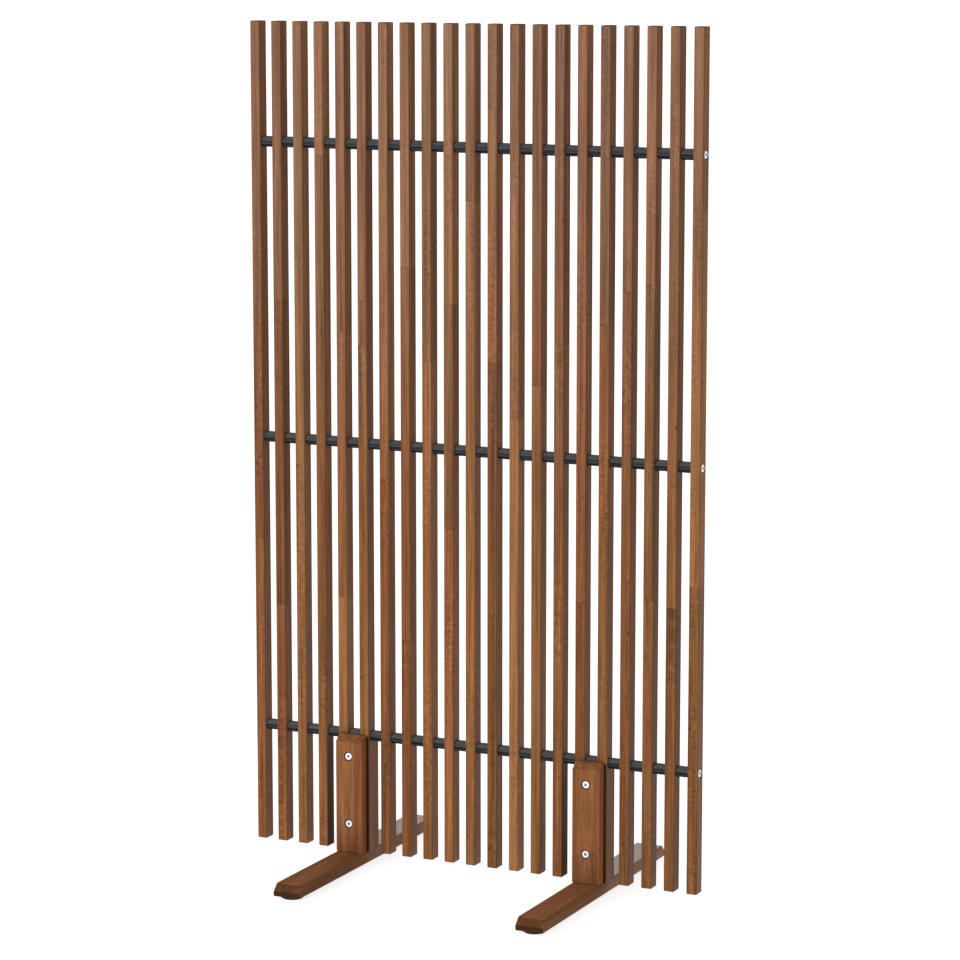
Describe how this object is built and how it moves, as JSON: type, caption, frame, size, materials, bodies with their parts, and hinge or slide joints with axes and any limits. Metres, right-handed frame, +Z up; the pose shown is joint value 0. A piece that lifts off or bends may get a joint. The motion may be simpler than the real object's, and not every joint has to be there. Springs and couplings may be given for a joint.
{
  "type": "garden privacy screen",
  "caption": "Free-standing slatted wooden privacy screen: upright slats on tie rods with black spacers, clamped between posts and plates on cross feet with levelling glides.",
  "frame": {"origin": "on the floor below the middle of the panel, in the slats' mid plane", "axes": "+X along the panel, to the right seen from the front; +Y to the back; +Z up"},
  "size_m": [0.867, 0.537, 1.5163],
  "materials": {
    "slat_wood": "stained and oiled hardwood, satin",
    "foot_wood": "stained and oiled hardwood, satin",
    "dowel_wood": "bare beech",
    "black_plastic": "matte black, moulded",
    "glide_plastic": "matte black, moulded",
    "zinc_steel": "zinc plated"
  },
  "bodies": {
    "screen": {"slat_01": "slat_wood", "slat_02": "slat_wood", "slat_03": "slat_wood", "slat_04": "slat_wood", "slat_05": "slat_wood", "slat_06": "slat_wood", "slat_07": "slat_wood", "slat_08": "slat_wood", "slat_09": "slat_wood", "slat_10": "slat_wood", "slat_11": "slat_wood", "slat_12": "slat_wood", "slat_13": "slat_wood", "slat_14": "slat_wood", "slat_15": "slat_wood", "slat_16": "slat_wood", "slat_17": "slat_wood", "slat_18": "slat_wood", "slat_19": "slat_wood", "slat_20": "slat_wood", "slat_21": "slat_wood", "tie_rod_low": "zinc_steel", "spacers_low": "black_plastic", "tie_rod_middle": "zinc_steel", "spacers_middle": "black_plastic", "tie_rod_high": "zinc_steel", "spacers_high": "black_plastic", "base_bar_left": "foot_wood", "post_left": "foot_wood", "clamp_plate_left": "foot_wood", "rod_nuts_left": "zinc_steel", "clamp_bolts_left": "zinc_steel", "post_inserts_left": "zinc_steel", "post_screws_left": "zinc_steel", "glide_inserts_left": "zinc_steel", "post_dowel_left": "dowel_wood", "base_bar_right": "foot_wood", "post_right": "foot_wood", "clamp_plate_right": "foot_wood", "rod_nuts_right": "zinc_steel", "clamp_bolts_right": "zinc_steel", "post_inserts_right": "zinc_steel", "post_screws_right": "zinc_steel", "glide_inserts_right": "zinc_steel", "post_dowel_right": "dowel_wood"},
    "glide_front_left": {"glide_pad_front_left": "glide_plastic", "glide_stem_front_left": "zinc_steel"},
    "glide_front_right": {"glide_pad_front_right": "glide_plastic", "glide_stem_front_right": "zinc_steel"},
    "glide_back_left": {"glide_pad_back_left": "glide_plastic", "glide_stem_back_left": "zinc_steel"},
    "glide_back_right": {"glide_pad_back_right": "glide_plastic", "glide_stem_back_right": "zinc_steel"}
  },
  "joints": [
    {"name": "glide_front_left_height", "type": "slide", "parent": "screen", "child": "glide_front_left", "axis": [0, 0, -1], "range_m": [0, 0.008]},
    {"name": "glide_front_right_height", "type": "slide", "parent": "screen", "child": "glide_front_right", "axis": [0, 0, -1], "range_m": [0, 0.008]},
    {"name": "glide_back_left_height", "type": "slide", "parent": "screen", "child": "glide_back_left", "axis": [0, 0, -1], "range_m": [0, 0.008]},
    {"name": "glide_back_right_height", "type": "slide", "parent": "screen", "child": "glide_back_right", "axis": [0, 0, -1], "range_m": [0, 0.008]}
  ]
}
